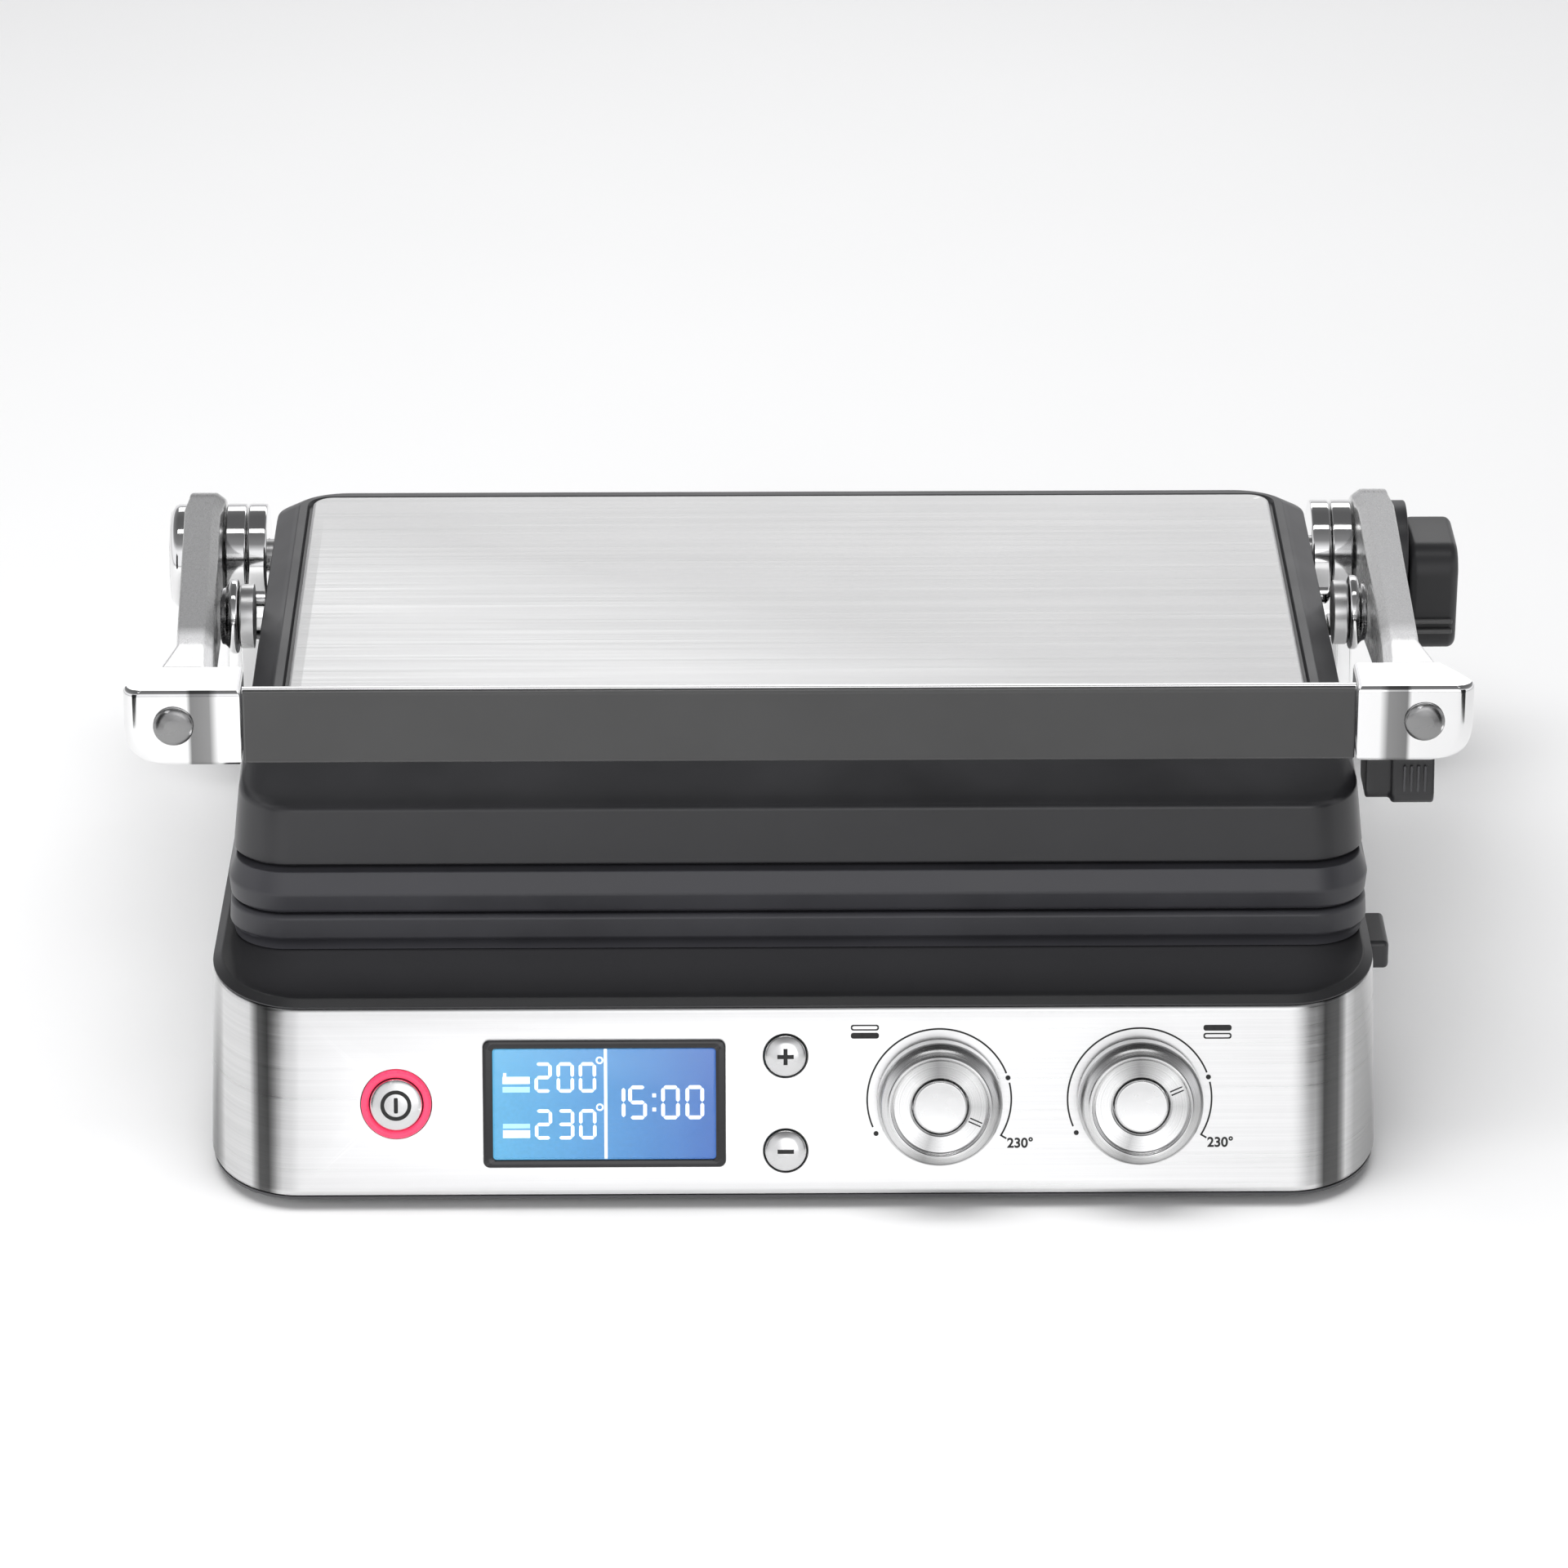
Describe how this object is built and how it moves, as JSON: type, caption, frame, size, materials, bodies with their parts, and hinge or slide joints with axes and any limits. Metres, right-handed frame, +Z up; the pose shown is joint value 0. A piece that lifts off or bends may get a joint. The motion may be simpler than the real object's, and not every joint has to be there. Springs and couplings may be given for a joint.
{
  "type": "panini press",
  "caption": "Electric contact grill with ribbed plates, a floating lid on side arms, a full-width handle, a tilted control panel and a rear drip tray.",
  "frame": {"origin": "on the table, under the middle of the whole object's bounding box; the body's own centre plane is 8.65 mm to the left, because the hinge lever stands out on the right", "axes": "+Z up, +X to the right of someone facing the controls, +Y towards the hinge at the rear"},
  "size_m": [0.4608, 0.3912, 0.1578],
  "materials": {
    "brushed_steel": "fine horizontal brushing",
    "chrome": "polished",
    "satin_metal": "satin, spun on the round controls",
    "lid_plastic": "fine grain, satin",
    "grip_plastic": "soft satin",
    "frame_plastic": "satin",
    "black_plastic": "satin",
    "nonstick_plate": "dark non-stick coating on die-cast aluminium",
    "sheet_steel": "mill finish",
    "heater_steel": "heat-darkened",
    "rubber": "matt",
    "display_glass": "clear, glossy",
    "display_blue": "backlit blue",
    "ring_red": "translucent, lit red",
    "board_green": "circuit board"
  },
  "bodies": {
    "base": {"base_pan": "black_plastic", "base_shell": "brushed_steel", "control_board": "board_green", "cord_gland": "rubber", "display_bezel": "black_plastic", "display_lens": "display_glass", "encoder_left": "black_plastic", "encoder_right": "black_plastic", "foot_front_left": "rubber", "foot_front_right": "rubber", "foot_rear_left": "rubber", "foot_rear_right": "rubber", "hinge_tower_left": "chrome", "hinge_tower_right": "chrome", "lcd_panel": "display_blue", "lower_frame": "frame_plastic", "lower_heater": "heater_steel", "lower_plate": "nonstick_plate", "lower_reflector": "sheet_steel", "lower_thermostat": "sheet_steel", "power_ring": "ring_red", "top_deck": "black_plastic"},
    "hinge_shaft": {"hinge_rod": "sheet_steel", "hinge_sleeve": "black_plastic", "hinge_knuckle_left": "chrome", "hinge_knuckle_right": "chrome"},
    "arms": {"arm_left": "satin_metal", "arm_right": "satin_metal", "handle_grip": "grip_plastic", "handle_bar": "chrome", "handle_end_left": "chrome", "handle_end_right": "chrome", "handle_cap_left": "satin_metal", "handle_cap_right": "satin_metal", "hinge_cap_left": "chrome", "hinge_cap_right": "black_plastic", "pivot_drum_left": "chrome", "pivot_drum_right": "chrome"},
    "lid": {"lid_housing": "lid_plastic", "lid_cover": "brushed_steel", "upper_frame": "frame_plastic", "upper_plate": "nonstick_plate", "upper_heater": "heater_steel", "upper_reflector": "sheet_steel", "upper_thermostat": "sheet_steel", "lid_pivot_pin_left": "sheet_steel", "lid_pivot_pin_right": "sheet_steel"},
    "release_lever": {"hinge_release_lever": "black_plastic"},
    "height_lever": {"height_lever": "black_plastic"},
    "drip_tray": {"drip_tray": "black_plastic"},
    "power_button": {"power_button": "satin_metal"},
    "plus_button": {"plus_button": "satin_metal"},
    "minus_button": {"minus_button": "satin_metal"},
    "knob_left": {"knob_left": "satin_metal", "knob_shaft_left": "sheet_steel"},
    "knob_right": {"knob_right": "satin_metal", "knob_shaft_right": "sheet_steel"},
    "sear_button_left": {"sear_button_left": "satin_metal"},
    "sear_button_right": {"sear_button_right": "satin_metal"},
    "plate_release": {"lower_plate_release": "black_plastic"}
  },
  "joints": [
    {"name": "lid_open", "type": "hinge", "parent": "base", "child": "hinge_shaft", "pos_m": [-0.00865, 0.17327, 0.08], "axis": [-1, 0, 0], "range_deg": [0, 172]},
    {"name": "arm_float", "type": "hinge", "parent": "hinge_shaft", "child": "arms", "pos_m": [-0.00865, 0.17327, 0.08], "axis": [-1, 0, 0], "range_deg": [0, 8]},
    {"name": "lid_level", "type": "hinge", "parent": "arms", "child": "lid", "pos_m": [-0.00865, 0.01827, 0.12], "axis": [-1, 0, 0], "range_deg": [-8, 0]},
    {"name": "release_lever_turn", "type": "hinge", "parent": "arms", "child": "release_lever", "pos_m": [0.22135, 0.17327, 0.08], "axis": [-1, 0, 0], "range_deg": [0, 28], "stiffness_Nm_per_rad": 0.4, "springref_deg": -8.59},
    {"name": "height_lever_turn", "type": "hinge", "parent": "lid", "child": "height_lever", "pos_m": [0.18285, -0.10773, 0.1245], "axis": [1, 0, 0], "range_deg": [0, 35]},
    {"name": "drip_tray_slide", "type": "slide", "parent": "base", "child": "drip_tray", "axis": [0, 1, 0], "range_m": [0, 0.125]},
    {"name": "power_press", "type": "slide", "parent": "base", "child": "power_button", "axis": [0, 0.9732, -0.23], "range_m": [0, 0.001], "stiffness_N_per_m": 400},
    {"name": "plus_press", "type": "slide", "parent": "base", "child": "plus_button", "axis": [0, 0.9732, -0.23], "range_m": [0, 0.001], "stiffness_N_per_m": 400},
    {"name": "minus_press", "type": "slide", "parent": "base", "child": "minus_button", "axis": [0, 0.9732, -0.23], "range_m": [0, 0.001], "stiffness_N_per_m": 400},
    {"name": "knob_left_turn", "type": "hinge", "parent": "base", "child": "knob_left", "pos_m": [0.03515, -0.18551, 0.03646], "axis": [0, -0.9732, 0.23], "range_deg": [-5, 231]},
    {"name": "knob_right_turn", "type": "hinge", "parent": "base", "child": "knob_right", "pos_m": [0.09855, -0.18551, 0.03646], "axis": [0, -0.9732, 0.23], "range_deg": [-53, 183]},
    {"name": "sear_left_press", "type": "slide", "parent": "knob_left", "child": "sear_button_left", "axis": [0, 0.9732, -0.23], "range_m": [0, 0.0018], "stiffness_N_per_m": 400},
    {"name": "sear_right_press", "type": "slide", "parent": "knob_right", "child": "sear_button_right", "axis": [0, 0.9732, -0.23], "range_m": [0, 0.0018], "stiffness_N_per_m": 400},
    {"name": "plate_release_press", "type": "slide", "parent": "base", "child": "plate_release", "axis": [-1, 0, 0], "range_m": [0, 0.003], "stiffness_N_per_m": 500}
  ],
  "couplings": [
    {"joint": "lid_level", "follows": "arm_float", "ratio": -1}
  ]
}
